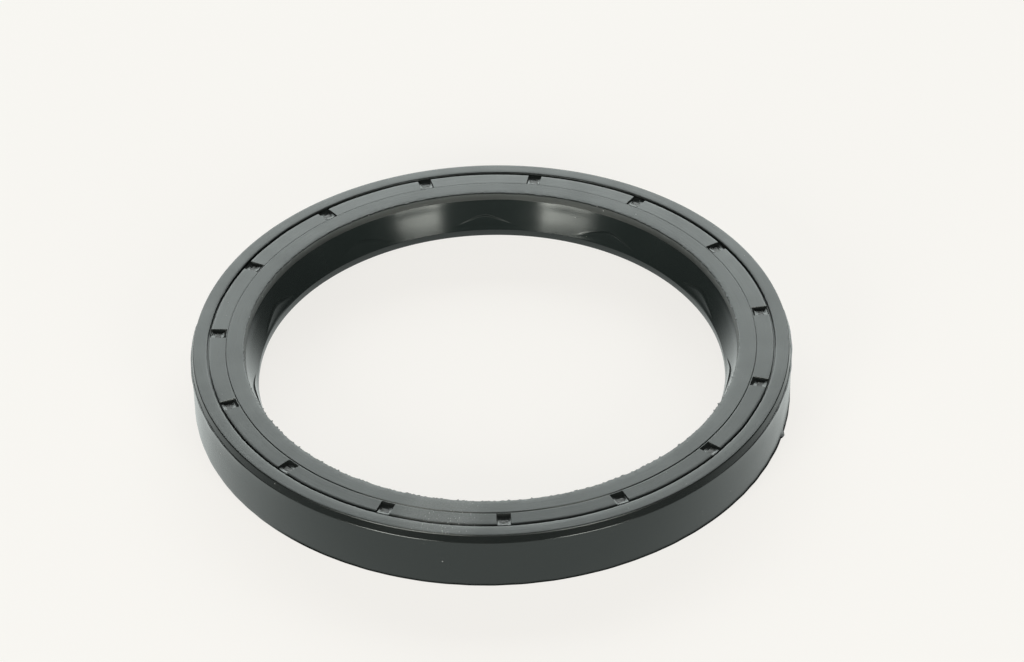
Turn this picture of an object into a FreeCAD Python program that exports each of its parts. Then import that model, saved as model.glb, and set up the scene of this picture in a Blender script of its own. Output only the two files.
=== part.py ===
import FreeCAD, Part
import math
import os
import Sketcher

# Radial shaft seal for a 75 mm shaft in a 95 mm bore, 10 mm wide.
# It is a steel stiffening case moulded into a rubber ring, and a garter spring in the ring's lip.
# The oil side faces down. The air side, with the support pockets, faces up.
# The origin is the centre of the oil-side face and Z is the shaft's axis.

os.makedirs("parts", exist_ok=True)
doc = FreeCAD.newDocument("shaft_seal")

# Driving dimensions in millimetres and degrees

DIMENSIONS = [
    # the size that the seal is ordered by
    ("shaft_diameter", 75.0),
    ("radial_section", 10.0),
    ("seal_width", 10.0),
    # the outer wall: edge break on the oil side, lead-in on the air side
    ("oil_edge_break", 0.3),
    ("lead_in_width", 0.25),
    ("lead_in_height", 1.1),
    # the steel case and the rubber around it
    ("cover_wall", 1.15),
    ("face_cover", 0.6),
    ("case_gauge", 1.0),
    ("bend_radius", 0.5),
    ("leg_end_cover", 0.7),
    ("flange_film", 0.5),
    ("film_reach", 2.6),
    ("film_end_slope", 0.3),
    # the air-side face: rim, parting groove with its crease, pocket band, notch and inner band
    ("rim_width", 1.85),
    ("parting_slope", 0.5),
    ("parting_drop", 0.28),
    ("crease_width", 0.25),
    ("crease_floor_width", 0.12),
    ("crease_depth", 0.48),
    ("band_drop", 0.12),
    ("notch_width", 0.16),
    ("notch_depth", 0.22),
    ("inner_band_width", 2.04),
    ("shoulder_width", 0.7),
    ("shoulder_drop", 0.12),
    # the pockets left by the pins that hold the case in the mould
    ("pocket_count", 15.0),
    ("pocket_phase", 7.66),
    ("pocket_width", 2.1),
    ("pocket_ramp", 0.6),
    # the sealing lip and the membrane that carries it
    ("lip_interference", 0.35),
    ("lip_depth", 7.17),
    ("lip_land", 0.8),
    ("lip_band_height", 1.1),
    ("lip_band_angle", 12.0),
    ("bore_angle", 18.5),
    ("membrane_wall", 1.05),
    ("membrane_root", 1.1),
    ("root_radius", 0.9),
    # the lip's head round the spring
    ("oil_face_angle", 55.0),
    ("nose_drop", 1.2),
    ("nose_chamfer", 0.55),
    ("lip_thickness", 1.2),
    ("head_overlap", 0.5),
    ("head_shoulder", 0.35),
    ("head_slope", 0.6),
    # the garter spring
    ("coil_diameter", 1.9),
    ("spring_offset", 0.5),
    ("spring_clearance", 0.03),
    # the raised pads of the bore, which pump oil back whichever way the shaft turns
    ("pad_count", 11.0),
    ("pad_phase", 90.9),
    ("pad_rise", 2.37),
    ("pad_relief", 0.16),
    ("pad_start", 0.25),
    ("pad_tip_radius", 4.0),
    ("pad_foot_width", 16.0),
]

sizes = doc.addObject("Spreadsheet::Sheet", "Sizes")
for row, (alias, number) in enumerate(DIMENSIONS, start=1):
    sizes.set(f"A{row}", alias)
    sizes.set(f"B{row}", str(number))
    sizes.setAlias(f"B{row}", alias)
doc.recompute()

# Radii and heights that follow from the driving dimensions, as expressions of the sheet

AXIS_PLANE = "XZ_Plane"
OVERSHOOT = "1"

SEAL_TOP = "Sizes.seal_width"
OUTER_R = "(Sizes.shaft_diameter / 2 + Sizes.radial_section)"

CASE_OUTER_R = f"({OUTER_R} - Sizes.cover_wall)"
CASE_INNER_R = f"({CASE_OUTER_R} - Sizes.case_gauge)"
FLANGE_TOP = f"({SEAL_TOP} - Sizes.face_cover)"
FLANGE_UNDER = f"({FLANGE_TOP} - Sizes.case_gauge)"
FILM_UNDER = f"({FLANGE_UNDER} - Sizes.flange_film)"
OUTER_BEND = "(Sizes.bend_radius + Sizes.case_gauge)"

LIP_R = "(Sizes.shaft_diameter / 2 - Sizes.lip_interference)"
LIP_Z = f"({SEAL_TOP} - Sizes.lip_depth)"
LAND_Z = f"({LIP_Z} + Sizes.lip_land)"
BAND_Z = f"({LIP_Z} + Sizes.lip_band_height)"
BAND_R = f"({LIP_R} + (Sizes.lip_band_height - Sizes.lip_land) * tan(Sizes.lip_band_angle))"
EDGE_Z = f"({SEAL_TOP} - Sizes.shoulder_drop)"


def bore_radius(height):
    """The radius of the membrane's bore at a height."""
    return f"({BAND_R} + ({height} - {BAND_Z}) * tan(Sizes.bore_angle))"


def membrane_back(height):
    """The radius of the membrane's oil side at a height."""
    return f"({bore_radius(height)} + Sizes.membrane_wall / cos(Sizes.bore_angle))"


EDGE_R = bore_radius(EDGE_Z)
SHOULDER_R = f"({EDGE_R} + Sizes.shoulder_width)"
STEP_R = f"({SHOULDER_R} + Sizes.inner_band_width)"
NOTCH_END_R = f"({STEP_R} + Sizes.notch_width)"
BAND_TOP = f"({SEAL_TOP} - Sizes.band_drop)"
PARTING_OUTER_R = f"({OUTER_R} - Sizes.rim_width)"
CREASE_OUTER_R = f"({PARTING_OUTER_R} - Sizes.parting_slope)"
CREASE_MID_R = f"({CREASE_OUTER_R} - Sizes.crease_width / 2)"
CREASE_INNER_R = f"({CREASE_OUTER_R} - Sizes.crease_width)"
PARTING_INNER_R = f"({CREASE_INNER_R} - Sizes.parting_slope)"
CREASE_TOP = f"({SEAL_TOP} - Sizes.parting_drop)"
CREASE_FLOOR = f"({SEAL_TOP} - Sizes.crease_depth)"
FLANGE_INNER_R = f"({EDGE_R} + Sizes.membrane_root)"
FILM_R = f"({FLANGE_INNER_R} + Sizes.film_reach)"

SPRING_R = f"({LIP_R} + Sizes.lip_thickness + Sizes.coil_diameter / 2)"
SPRING_Z = f"({LIP_Z} + Sizes.spring_offset)"
HEAD_R = f"({SPRING_R} + Sizes.head_overlap)"
HEAD_TOP = f"({SPRING_Z} + Sizes.coil_diameter / 2 + Sizes.head_shoulder)"
WAIST_Z = f"({HEAD_TOP} + Sizes.head_slope)"
ROOT_Z = f"({FILM_UNDER} - Sizes.root_radius)"
NOSE_Z = f"({LIP_Z} - Sizes.nose_drop)"
NOSE_INNER_R = f"({LIP_R} + Sizes.nose_drop * tan(Sizes.oil_face_angle))"
NOSE_OUTER_R = f"({HEAD_R} - Sizes.nose_chamfer)"

PAD_START_Z = f"({BAND_Z} - Sizes.pad_start)"
PAD_START_R = f"({BAND_R} - Sizes.pad_start * tan(Sizes.lip_band_angle))"
PAD_TOP = f"({BAND_Z} + Sizes.pad_rise)"
PAD_TOP_R = f"({bore_radius(PAD_TOP)} - Sizes.pad_relief)"
PAD_PITCH = f"(2 * {BAND_R} * sin(180 / Sizes.pad_count))"
PAD_HALF_FOOT = "(Sizes.pad_foot_width / 2)"
PAD_TIP_CENTRE = f"({PAD_TOP} - {PAD_START_Z} - Sizes.pad_tip_radius)"
PAD_SLOPE = (
    f"(atan({PAD_TIP_CENTRE} / {PAD_HALF_FOOT})"
    f" + asin(Sizes.pad_tip_radius / sqrt({PAD_HALF_FOOT} ^ 2 + {PAD_TIP_CENTRE} ^ 2)))"
)


def value(expression):
    """The number that an expression of the sheet gives."""
    found = sizes.evalExpression(expression)
    return float(getattr(found, "Value", found))


# Sketches and features

def arc_between(start, end, radius, side):
    """A circular arc from start to end; side is 1 where its centre lies left of the way, else -1."""
    chord = end - start
    rise = math.sqrt(radius ** 2 - (chord.Length / 2) ** 2)
    left = FreeCAD.Vector(-chord.y, chord.x, 0).normalize()
    centre = (start + end) / 2 + left * rise * side
    circle = Part.Circle(centre, FreeCAD.Vector(0, 0, 1), radius)
    first = circle.parameter(start)
    last = circle.parameter(end)
    if side > 0:
        return Part.ArcOfCircle(circle, first, last)
    return Part.ArcOfCircle(circle, last, first)


def plane_of(body, role):
    """The body's own origin plane of that role."""
    return next(plane for plane in body.Origin.OriginFeatures if plane.Role == role)


def new_sketch(body, name, role):
    """An empty sketch on one of the body's origin planes."""
    sketch = body.newObject("Sketcher::SketchObject", name)
    sketch.AttachmentSupport = [(plane_of(body, role), "")]
    sketch.MapMode = "FlatFace"
    return sketch


def bind(sketch, kind, geometry, number, expression):
    """One sketch dimension, driven by an expression of the sheet."""
    index = sketch.addConstraint(Sketcher.Constraint(kind, *geometry, number))
    sketch.setExpression(f"Constraints[{index}]", expression)


def draw_outline(sketch, corners, arcs=None):
    """A closed outline whose corners are pairs of expressions.

    arcs gives, for the side that starts at a corner, its radius and the side of its centre.
    """
    arcs = arcs or {}
    points = [FreeCAD.Vector(value(x), value(y), 0) for x, y in corners]
    flipped = {side for side, (_, turn) in arcs.items() if turn < 0}
    for side, start in enumerate(points):
        end = points[(side + 1) % len(points)]
        if side in arcs:
            radius, turn = arcs[side]
            sketch.addGeometry(arc_between(start, end, value(radius), turn), False)
            bind(sketch, "Radius", (side,), value(radius), radius)
        else:
            sketch.addGeometry(Part.LineSegment(start, end), False)
    for side in range(len(points)):
        following = (side + 1) % len(points)
        last_end = 1 if side in flipped else 2
        next_start = 2 if following in flipped else 1
        sketch.addConstraint(Sketcher.Constraint("Coincident", side, last_end, following, next_start))
    for side, (x, y) in enumerate(corners):
        start = 2 if side in flipped else 1
        bind(sketch, "DistanceX", (-1, 1, side, start), points[side].x, x)
        if y == "0":
            sketch.addConstraint(Sketcher.Constraint("PointOnObject", side, start, -1))
        else:
            bind(sketch, "DistanceY", (-1, 1, side, start), points[side].y, y)


def turn_section(body, kind, name, corners, arcs=None):
    """A section in the axial plane, turned a full circle about Z to add or to cut."""
    sketch = new_sketch(body, name + "_section", AXIS_PLANE)
    draw_outline(sketch, corners, arcs)
    turned = body.newObject(kind, name)
    turned.Profile = sketch
    turned.ReferenceAxis = (sketch, ["V_Axis"])
    turned.Angle = 360.0
    doc.recompute()
    return turned


def pattern_round(body, name, feature, count, axis):
    """Equal copies of a feature round the shaft's axis, which is a sketch and the name of its line."""
    pattern = body.newObject("PartDesign::PolarPattern", name)
    pattern.Originals = [feature]
    pattern.Axis = axis
    pattern.Angle = 360.0
    pattern.setExpression("Occurrences", count)
    body.Tip = pattern
    doc.recompute()
    return pattern


# Steel case: an angle ring with a leg along the outer wall and a flange under the air-side face

CASE_OUTLINE = [
    (CASE_OUTER_R, "Sizes.leg_end_cover"),
    (CASE_OUTER_R, f"({FLANGE_TOP} - {OUTER_BEND})"),
    (f"({CASE_OUTER_R} - {OUTER_BEND})", FLANGE_TOP),
    (FLANGE_INNER_R, FLANGE_TOP),
    (FLANGE_INNER_R, FLANGE_UNDER),
    (f"({CASE_INNER_R} - Sizes.bend_radius)", FLANGE_UNDER),
    (CASE_INNER_R, f"({FLANGE_UNDER} - Sizes.bend_radius)"),
    (CASE_INNER_R, "Sizes.leg_end_cover"),
]
CASE_ARCS = {1: (OUTER_BEND, 1), 5: ("Sizes.bend_radius", -1)}


def make_steel_case():
    """The angle ring, turned from its section."""
    body = doc.addObject("PartDesign::Body", "SteelCase")
    body.Label = "steel_case"
    turn_section(body, "PartDesign::Revolution", "angle_ring", CASE_OUTLINE, CASE_ARCS)
    return body


# Rubber ring: the outer cover, the air-side face, the membrane and the sealing lip in one moulding

BLANK_OUTLINE = [
    (LIP_R, "0"),
    (f"({OUTER_R} - Sizes.oil_edge_break)", "0"),
    (OUTER_R, "Sizes.oil_edge_break"),
    (OUTER_R, f"({SEAL_TOP} - Sizes.lead_in_height)"),
    (f"({OUTER_R} - Sizes.lead_in_width)", SEAL_TOP),
    (SHOULDER_R, SEAL_TOP),
    (EDGE_R, EDGE_Z),
    (BAND_R, BAND_Z),
    (LIP_R, LAND_Z),
]

OIL_CHANNEL_OUTLINE = [
    (CASE_INNER_R, f"-{OVERSHOOT}"),
    (CASE_INNER_R, FLANGE_UNDER),
    (f"({FILM_R} + Sizes.film_end_slope)", FLANGE_UNDER),
    (FILM_R, FILM_UNDER),
    (f"({membrane_back(ROOT_Z)} + Sizes.root_radius)", FILM_UNDER),
    (membrane_back(ROOT_Z), ROOT_Z),
    (membrane_back(WAIST_Z), WAIST_Z),
    (HEAD_R, HEAD_TOP),
    (HEAD_R, f"({NOSE_Z} + Sizes.nose_chamfer)"),
    (NOSE_OUTER_R, NOSE_Z),
    (NOSE_INNER_R, NOSE_Z),
    (LIP_R, LIP_Z),
    (f"({LIP_R} - {OVERSHOOT})", LIP_Z),
    (f"({LIP_R} - {OVERSHOOT})", f"-{OVERSHOOT}"),
]
OIL_CHANNEL_ARCS = {4: ("Sizes.root_radius", 1)}

FACE_RELIEF_OUTLINE = [
    (PARTING_OUTER_R, f"({SEAL_TOP} + {OVERSHOOT})"),
    (PARTING_OUTER_R, SEAL_TOP),
    (CREASE_OUTER_R, CREASE_TOP),
    (f"({CREASE_MID_R} + Sizes.crease_floor_width / 2)", CREASE_FLOOR),
    (f"({CREASE_MID_R} - Sizes.crease_floor_width / 2)", CREASE_FLOOR),
    (CREASE_INNER_R, CREASE_TOP),
    (PARTING_INNER_R, BAND_TOP),
    (NOTCH_END_R, BAND_TOP),
    (f"({STEP_R} + Sizes.notch_width / 2)", f"({SEAL_TOP} - Sizes.notch_depth)"),
    (STEP_R, SEAL_TOP),
    (STEP_R, f"({SEAL_TOP} + {OVERSHOOT})"),
]


def cut_spring_groove(body):
    """The round groove behind the lip that the garter spring snaps into."""
    sketch = new_sketch(body, "spring_groove_section", AXIS_PLANE)
    radius = "Sizes.coil_diameter / 2 + Sizes.spring_clearance"
    centre = FreeCAD.Vector(value(SPRING_R), value(SPRING_Z), 0)
    sketch.addGeometry(Part.Circle(centre, FreeCAD.Vector(0, 0, 1), value(radius)), False)
    bind(sketch, "Radius", (0,), value(radius), radius)
    bind(sketch, "DistanceX", (-1, 1, 0, 3), centre.x, SPRING_R)
    bind(sketch, "DistanceY", (-1, 1, 0, 3), centre.y, SPRING_Z)
    groove = body.newObject("PartDesign::Groove", "spring_groove")
    groove.Profile = sketch
    groove.ReferenceAxis = (sketch, ["V_Axis"])
    groove.Angle = 360.0
    doc.recompute()


def cut_pockets(body):
    """The pockets with ramped ends through the face cover, which leave the case bare at their floors."""
    sketch = new_sketch(body, "pocket_section", AXIS_PLANE)
    draw_outline(sketch, [
        (NOTCH_END_R, f"({SEAL_TOP} + {OVERSHOOT})"),
        (NOTCH_END_R, BAND_TOP),
        (f"({NOTCH_END_R} + Sizes.pocket_ramp)", FLANGE_TOP),
        (f"({CREASE_MID_R} - Sizes.pocket_ramp)", FLANGE_TOP),
        (CREASE_MID_R, BAND_TOP),
        (CREASE_MID_R, f"({SEAL_TOP} + {OVERSHOOT})"),
    ])
    pocket = body.newObject("PartDesign::Pocket", "pocket")
    pocket.Profile = sketch
    pocket.Type = "Length"
    pocket.Midplane = True
    pocket.setExpression("Length", "Sizes.pocket_width")
    doc.recompute()
    pattern_round(body, "pocket_ring", pocket, "Sizes.pocket_count", (sketch, ["V_Axis"]))


def make_moulding():
    """The rubber ring without its pads."""
    body = doc.addObject("PartDesign::Body", "Moulding")
    turn_section(body, "PartDesign::Revolution", "blank", BLANK_OUTLINE)
    turn_section(body, "PartDesign::Groove", "oil_channel", OIL_CHANNEL_OUTLINE, OIL_CHANNEL_ARCS)
    turn_section(body, "PartDesign::Groove", "case_seat", CASE_OUTLINE, CASE_ARCS)
    turn_section(body, "PartDesign::Groove", "face_relief", FACE_RELIEF_OUTLINE)
    cut_spring_groove(body)
    cut_pockets(body)
    body.setExpression("Placement.Rotation.Angle", "Sizes.pocket_phase")
    doc.recompute()
    return body


# Pumping pads: raised round-topped triangles on the bore, each with its foot on the lip's band

PAD_RING_OUTLINE = [
    (PAD_START_R, f"({PAD_START_Z} - Sizes.pad_start)"),
    (f"({PAD_START_R} + Sizes.membrane_wall / 2)", f"({PAD_START_Z} - Sizes.pad_start)"),
    (f"({bore_radius(PAD_TOP)} + Sizes.membrane_wall / 2)", PAD_TOP),
    (PAD_TOP_R, PAD_TOP),
    (PAD_START_R, PAD_START_Z),
]


def make_pad_ring():
    """A thin ring at the pads' height, cut away between them down to the lip's band."""
    body = doc.addObject("PartDesign::Body", "PadRing")
    band = turn_section(body, "PartDesign::Revolution", "pad_band", PAD_RING_OUTLINE)
    sketch = new_sketch(body, "pad_gap_outline", "YZ_Plane")
    middle = f"({PAD_PITCH} / 2)"
    foot = f"({middle} - {PAD_HALF_FOOT})"
    shoulder = f"({middle} - Sizes.pad_tip_radius * sin({PAD_SLOPE}))"
    shoulder_z = f"({PAD_TOP} - Sizes.pad_tip_radius * (1 - cos({PAD_SLOPE})))"
    draw_outline(sketch, [
        (f"(-{foot})", PAD_START_Z),
        (foot, PAD_START_Z),
        (shoulder, shoulder_z),
        (middle, PAD_TOP),
        (middle, f"({PAD_TOP} + {OVERSHOOT})"),
        (f"(-{middle})", f"({PAD_TOP} + {OVERSHOOT})"),
        (f"(-{middle})", PAD_TOP),
        (f"(-{shoulder})", shoulder_z),
    ], {2: ("Sizes.pad_tip_radius", -1), 6: ("Sizes.pad_tip_radius", -1)})
    gap = body.newObject("PartDesign::Pocket", "pad_gap")
    gap.Profile = sketch
    gap.Type = "Length"
    gap.Reversed = True
    gap.setExpression("Length", OUTER_R)
    doc.recompute()
    pattern_round(body, "pad_gap_ring", gap, "Sizes.pad_count", (band.Profile[0], ["V_Axis"]))
    body.setExpression("Placement.Rotation.Angle", "Sizes.pad_phase - 180 / Sizes.pad_count")
    doc.recompute()
    return body


def make_rubber_ring():
    """The moulding with its pads."""
    ring = doc.addObject("Part::Fuse", "RubberRing")
    ring.Label = "rubber_ring"
    ring.Base = make_moulding()
    ring.Tool = make_pad_ring()
    ring.Refine = True
    return ring


# Garter spring: a closed coil, here as the torus that its turns fill

def make_garter_spring():
    """The torus of the coil, in the groove behind the lip."""
    spring = doc.addObject("Part::Torus", "GarterSpring")
    spring.Label = "garter_spring"
    spring.setExpression("Radius1", SPRING_R)
    spring.setExpression("Radius2", "Sizes.coil_diameter / 2")
    spring.setExpression("Placement.Base.z", SPRING_Z)
    return spring


nodes = [make_steel_case(), make_rubber_ring(), make_garter_spring()]
doc.recompute()

for item in doc.Objects:
    if "Invalid" in item.State or "Error" in item.State:
        raise RuntimeError(f"{item.Name} failed: {item.State}")

for node in nodes:
    if node.Shape.isNull() or not node.Shape.isValid() or len(node.Shape.Solids) != 1:
        raise RuntimeError(f"{node.Label} isn't one valid solid")
    node.Shape.exportStep(f"parts/{node.Label}.step")
    print(f"{node.Label}: {node.Shape.Volume:.1f} mm3")
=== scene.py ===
import math

import bpy
import numpy as np
from mathutils import Matrix, Vector


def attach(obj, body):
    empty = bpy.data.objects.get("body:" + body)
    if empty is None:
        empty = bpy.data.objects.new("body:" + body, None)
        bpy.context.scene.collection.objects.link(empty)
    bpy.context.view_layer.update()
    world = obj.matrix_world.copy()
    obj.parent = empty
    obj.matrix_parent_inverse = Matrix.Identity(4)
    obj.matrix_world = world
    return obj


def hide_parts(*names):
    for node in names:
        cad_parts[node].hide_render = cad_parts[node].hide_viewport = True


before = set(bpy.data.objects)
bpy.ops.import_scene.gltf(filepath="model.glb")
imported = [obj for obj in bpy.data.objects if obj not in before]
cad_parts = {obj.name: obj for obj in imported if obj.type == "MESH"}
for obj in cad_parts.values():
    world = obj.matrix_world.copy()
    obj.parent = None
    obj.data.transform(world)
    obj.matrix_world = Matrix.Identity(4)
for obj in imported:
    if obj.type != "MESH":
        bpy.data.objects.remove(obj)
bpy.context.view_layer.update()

MM = 0.001
TAU = 2 * math.pi

# Camera, in millimetres: a small product shot from the front at 38 degrees, with no lens shift

CAMERA_DISTANCE = 639.794
CAMERA_ELEVATION = math.radians(38.1746)
CAMERA_TURN = math.radians(-0.4024)
CAMERA_ROLL = math.radians(-1.13)
CAMERA_AIM = Vector((3.434, 14.755, -0.055))
CAMERA_LENS = 138.04
SENSOR_WIDTH = 36.0
CAMERA_NEAR = 10.0


def place_camera():
    """The camera, rolled a little, looking at a point just behind the seal's middle."""
    forward = Vector((
        -math.sin(CAMERA_TURN) * math.cos(CAMERA_ELEVATION),
        math.cos(CAMERA_TURN) * math.cos(CAMERA_ELEVATION),
        -math.sin(CAMERA_ELEVATION),
    ))
    level = Vector((math.cos(CAMERA_TURN), math.sin(CAMERA_TURN), 0.0))
    upward = level.cross(forward)
    right = math.cos(CAMERA_ROLL) * level + math.sin(CAMERA_ROLL) * upward
    up = -math.sin(CAMERA_ROLL) * level + math.cos(CAMERA_ROLL) * upward
    place = (CAMERA_AIM - forward * CAMERA_DISTANCE) * MM
    data = bpy.data.cameras.new("camera")
    data.lens = CAMERA_LENS
    data.sensor_width = SENSOR_WIDTH
    data.clip_start = CAMERA_NEAR * MM
    camera = bpy.data.objects.new("camera", data)
    bpy.context.scene.collection.objects.link(camera)
    turned = Matrix((right, up, -forward)).transposed().to_4x4()
    camera.matrix_world = Matrix.Translation(place) @ turned
    bpy.context.scene.camera = camera


# Light, in metres: a large softbox behind, two warm strip boxes in front, a weak fill and a dim plain room

BACKDROP = (0.921, 0.904, 0.871)
FLOOR_SEEN = (0.985, 0.967, 0.932)
FLOOR_IN_GLOSS = (0.94, 1.0, 0.975)
ROOM_LIGHT = 0.06
FLOOR_HALF = 3.0
FLOOR_Z = -0.00001
FLOOR_SHADE = 0.2
GRAZING = (0.73, 0.55)
GRAZING_LEAST = 0.06
CONTACT_SHADOW = (0.0482, 0.0479)
CONTACT_SIDE = (0.014, 0.026)
CONTACT_SKEW = 0.45
SHADE_IN_FRONT = (-0.028, -0.050)
SHADE_SHARE = 0.28

BACK_BOX = {"turn": 90, "elevation": 27.8, "distance": 1.6, "width": 2.2, "height": 0.88, "radiance": 5.0}
FRONT_BOXES = {
    "left_strip": {
        "turn": 235, "elevation": 15, "distance": 1.2, "width": 0.48, "height": 0.5, "radiance": 13.2,
    },
    "right_strip": {
        "turn": 301, "elevation": 15, "distance": 1.2, "width": 0.40, "height": 0.5, "radiance": 12.0,
    },
    "front_fill": {
        "turn": 270, "elevation": 38, "distance": 1.4, "width": 0.9, "height": 0.5, "radiance": 1.3,
    },
}
COOL_WHITE = (0.945, 1.0, 0.985)
WARM_WHITE = (1.0, 0.985, 0.92)


def softbox(name, colour, turn, elevation, distance, width, height, radiance):
    """An area lamp facing the seal; turn is its angle round the seal, 90 degrees is straight behind."""
    data = bpy.data.lights.new(name, "AREA")
    data.shape = "RECTANGLE"
    data.color = colour
    data.size = width
    data.size_y = height
    data.energy = radiance * math.pi * width * height
    lamp = bpy.data.objects.new(name, data)
    bpy.context.scene.collection.objects.link(lamp)
    turn = math.radians(turn)
    elevation = math.radians(elevation)
    toward = Vector((
        math.cos(turn) * math.cos(elevation),
        math.sin(turn) * math.cos(elevation),
        math.sin(elevation),
    ))
    lamp.location = toward * distance
    lamp.rotation_euler = toward.to_track_quat("Z", "Y").to_euler()
    return lamp


def place_lamps():
    """The softbox that the flat faces mirror, the two strips that the bore mirrors, and a weak fill."""
    softbox("back_box", COOL_WHITE, **BACK_BOX)
    for name, box in FRONT_BOXES.items():
        softbox(name, WARM_WHITE, **box)


def plain_room():
    """A dim plain room, which the camera sees in the backdrop's colour at plain strength."""
    world = bpy.data.worlds.new("plain_room")
    bpy.context.scene.world = world
    world.use_nodes = True
    nodes = world.node_tree.nodes
    links = world.node_tree.links
    background = nodes["Background"]
    background.inputs["Color"].default_value = (*BACKDROP, 1.0)
    path = nodes.new("ShaderNodeLightPath")
    strength = nodes.new("ShaderNodeMapRange")
    strength.inputs["To Min"].default_value = ROOM_LIGHT
    strength.inputs["To Max"].default_value = 1.0
    links.new(path.outputs["Is Camera Ray"], strength.inputs["Value"])
    links.new(strength.outputs["Result"], background.inputs["Strength"])


def mirrored_floor_strength(nodes, links):
    """How bright the floor's mirror image is: dark at grazing angles, beside the wall's foot and in front."""
    facing = nodes.new("ShaderNodeLayerWeight")
    facing.inputs["Blend"].default_value = 0.5
    steep = ramp(nodes, links, facing.outputs["Facing"], *GRAZING)
    softened = math_node(nodes, links, "MAXIMUM", steep, GRAZING_LEAST)
    own = nodes.new("ShaderNodeTexCoord")
    from_axis = nodes.new("ShaderNodeVectorMath")
    from_axis.operation = "LENGTH"
    links.new(own.outputs["Object"], from_axis.inputs[0])
    split = nodes.new("ShaderNodeSeparateXYZ")
    links.new(own.outputs["Object"], split.inputs[0])
    skewed = math_node(nodes, links, "MULTIPLY", split.outputs[0], CONTACT_SKEW)
    front_right = math_node(nodes, links, "SUBTRACT", skewed, split.outputs[1])
    covered = ramp(nodes, links, from_axis.outputs["Value"], *CONTACT_SHADOW)
    contact = math_node(nodes, links, "MULTIPLY", ramp(nodes, links, front_right, *CONTACT_SIDE), covered)
    in_front = ramp(nodes, links, split.outputs[1], *SHADE_IN_FRONT)
    shade = math_node(nodes, links, "MULTIPLY", in_front, SHADE_SHARE)
    shaded = math_node(nodes, links, "SUBTRACT", 1.0, shade)
    lit = math_node(nodes, links, "SUBTRACT", shaded, contact, clamp=True)
    return math_node(nodes, links, "MULTIPLY", softened, lit)


def pale_floor():
    """A wide pale floor with a faint shadow, which has a darker mirror image of its own in the rubber."""
    mesh = bpy.data.meshes.new("floor")
    sides = ((-1, -1), (1, -1), (1, 1), (-1, 1))
    corners = [(x * FLOOR_HALF, y * FLOOR_HALF, FLOOR_Z) for x, y in sides]
    mesh.from_pydata(corners, [], [(0, 1, 2, 3)])
    floor = bpy.data.objects.new("floor", mesh)
    bpy.context.scene.collection.objects.link(floor)
    material = bpy.data.materials.new("pale_floor")
    material.use_nodes = True
    nodes = material.node_tree.nodes
    links = material.node_tree.links
    shader = nodes["Principled BSDF"]
    shader.inputs["Base Color"].default_value = (*BACKDROP, 1.0)
    shader.inputs["Roughness"].default_value = 0.9
    shader.inputs["Specular IOR Level"].default_value = 0.0

    path = nodes.new("ShaderNodeLightPath")
    seen = nodes.new("ShaderNodeEmission")
    seen.inputs["Color"].default_value = (*FLOOR_SEEN, 1.0)
    mirrored = nodes.new("ShaderNodeEmission")
    mirrored.inputs["Color"].default_value = (*FLOOR_IN_GLOSS, 1.0)
    links.new(mirrored_floor_strength(nodes, links), mirrored.inputs["Strength"])
    for_camera = nodes.new("ShaderNodeMixShader")
    share = math_node(nodes, links, "MULTIPLY", path.outputs["Is Camera Ray"], 1 - FLOOR_SHADE)
    links.new(share, for_camera.inputs[0])
    links.new(shader.outputs[0], for_camera.inputs[1])
    links.new(seen.outputs[0], for_camera.inputs[2])
    for_gloss = nodes.new("ShaderNodeMixShader")
    glossy = path.outputs["Is Glossy Ray"]
    through = path.outputs["Is Transmission Ray"]
    links.new(math_node(nodes, links, "ADD", glossy, through, clamp=True), for_gloss.inputs[0])
    links.new(for_camera.outputs[0], for_gloss.inputs[1])
    links.new(mirrored.outputs[0], for_gloss.inputs[2])
    links.new(for_gloss.outputs[0], nodes["Material Output"].inputs["Surface"])
    mesh.materials.append(material)
    return floor


# The section's sizes in millimetres, close to the solid's: R is from the axis, Z up from the oil-side face

WALL_R = 47.5
FOOT_R = 47.0
WALL_TOP_Z = 8.72
TOP_Z = 10.0
RIM_R = 47.20
OIL_EDGE = 0.3
CREASE_R = 44.87
CREASE_HALF = 0.12
CREASE_Z = 9.42
BAND_Z = 9.92
BAND_LOW_Z = 9.90
BAND_START_R = CREASE_R - 0.50
NOTCH_R = 42.10
STEP_R = 41.945
EDGE_R = 39.205
EDGE_Z = 9.88
TORN_NIB = 0.28
TORN_ARC = (190, 352)
FOOT_NIB = 0.35
FOOT_NIB_ARC = (342.4, 343.4)
FLASH_RIDGE = 0.15
FLASH_ARC = (171.0, 369.5)
FLASH_FADE = 0.85
FLASH_FADE_ARC = (222.0, 322.0)
TRIM_R = 38.95
TRIM_Z = 8.85
BORE_START_R = 38.93
BORE_START_Z = 8.80
BORE_SLOPE = math.tan(math.radians(20.2))
LIP_BAND_R = 37.16
LIP_BAND_Z = 3.93
LIP_BAND_SLOPE = math.tan(math.radians(2.0))
LIP_R = 37.15
LIP_TOP_Z = 3.63
LIP_Z = 2.83
LIP_FACE = 0.2
OIL_FACE_SLOPE = math.tan(math.radians(55.0))
NOSE_Z = 1.63
NOSE_CHAMFER = 0.55

CASE_LEG_IN_R = 45.35
CASE_LEG_OUT_R = 46.35
CASE_END_Z = 0.7
CASE_TOP_Z = 9.4
CASE_UNDER_Z = 8.4
CASE_FLANGE_R = 40.31
CASE_BEND = 1.5
CASE_BEND_STEPS = 6

COIL_R = 39.30
COIL_Z = 3.33
COIL_RADIUS = 0.95
GROOVE_RADIUS = 0.98
GROOVE_STEPS = 12
HEAD_R = 39.80
HEAD_SIDE_Z = (2.38, 4.3)
HEAD_TOP_Z = 4.63
NECK = (38.76, 5.23)
MEMBRANE_BACK_R = 39.35
FILM_Z = 7.9
FILM_END_R = (42.91, 43.21)

POCKET_COUNT = 15
POCKET_TURN = 7.66
POCKET_WIDTH = 2.1
POCKET_FLOOR = (42.705, 44.33)
POCKET_TOP = (42.16, 44.90)

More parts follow.
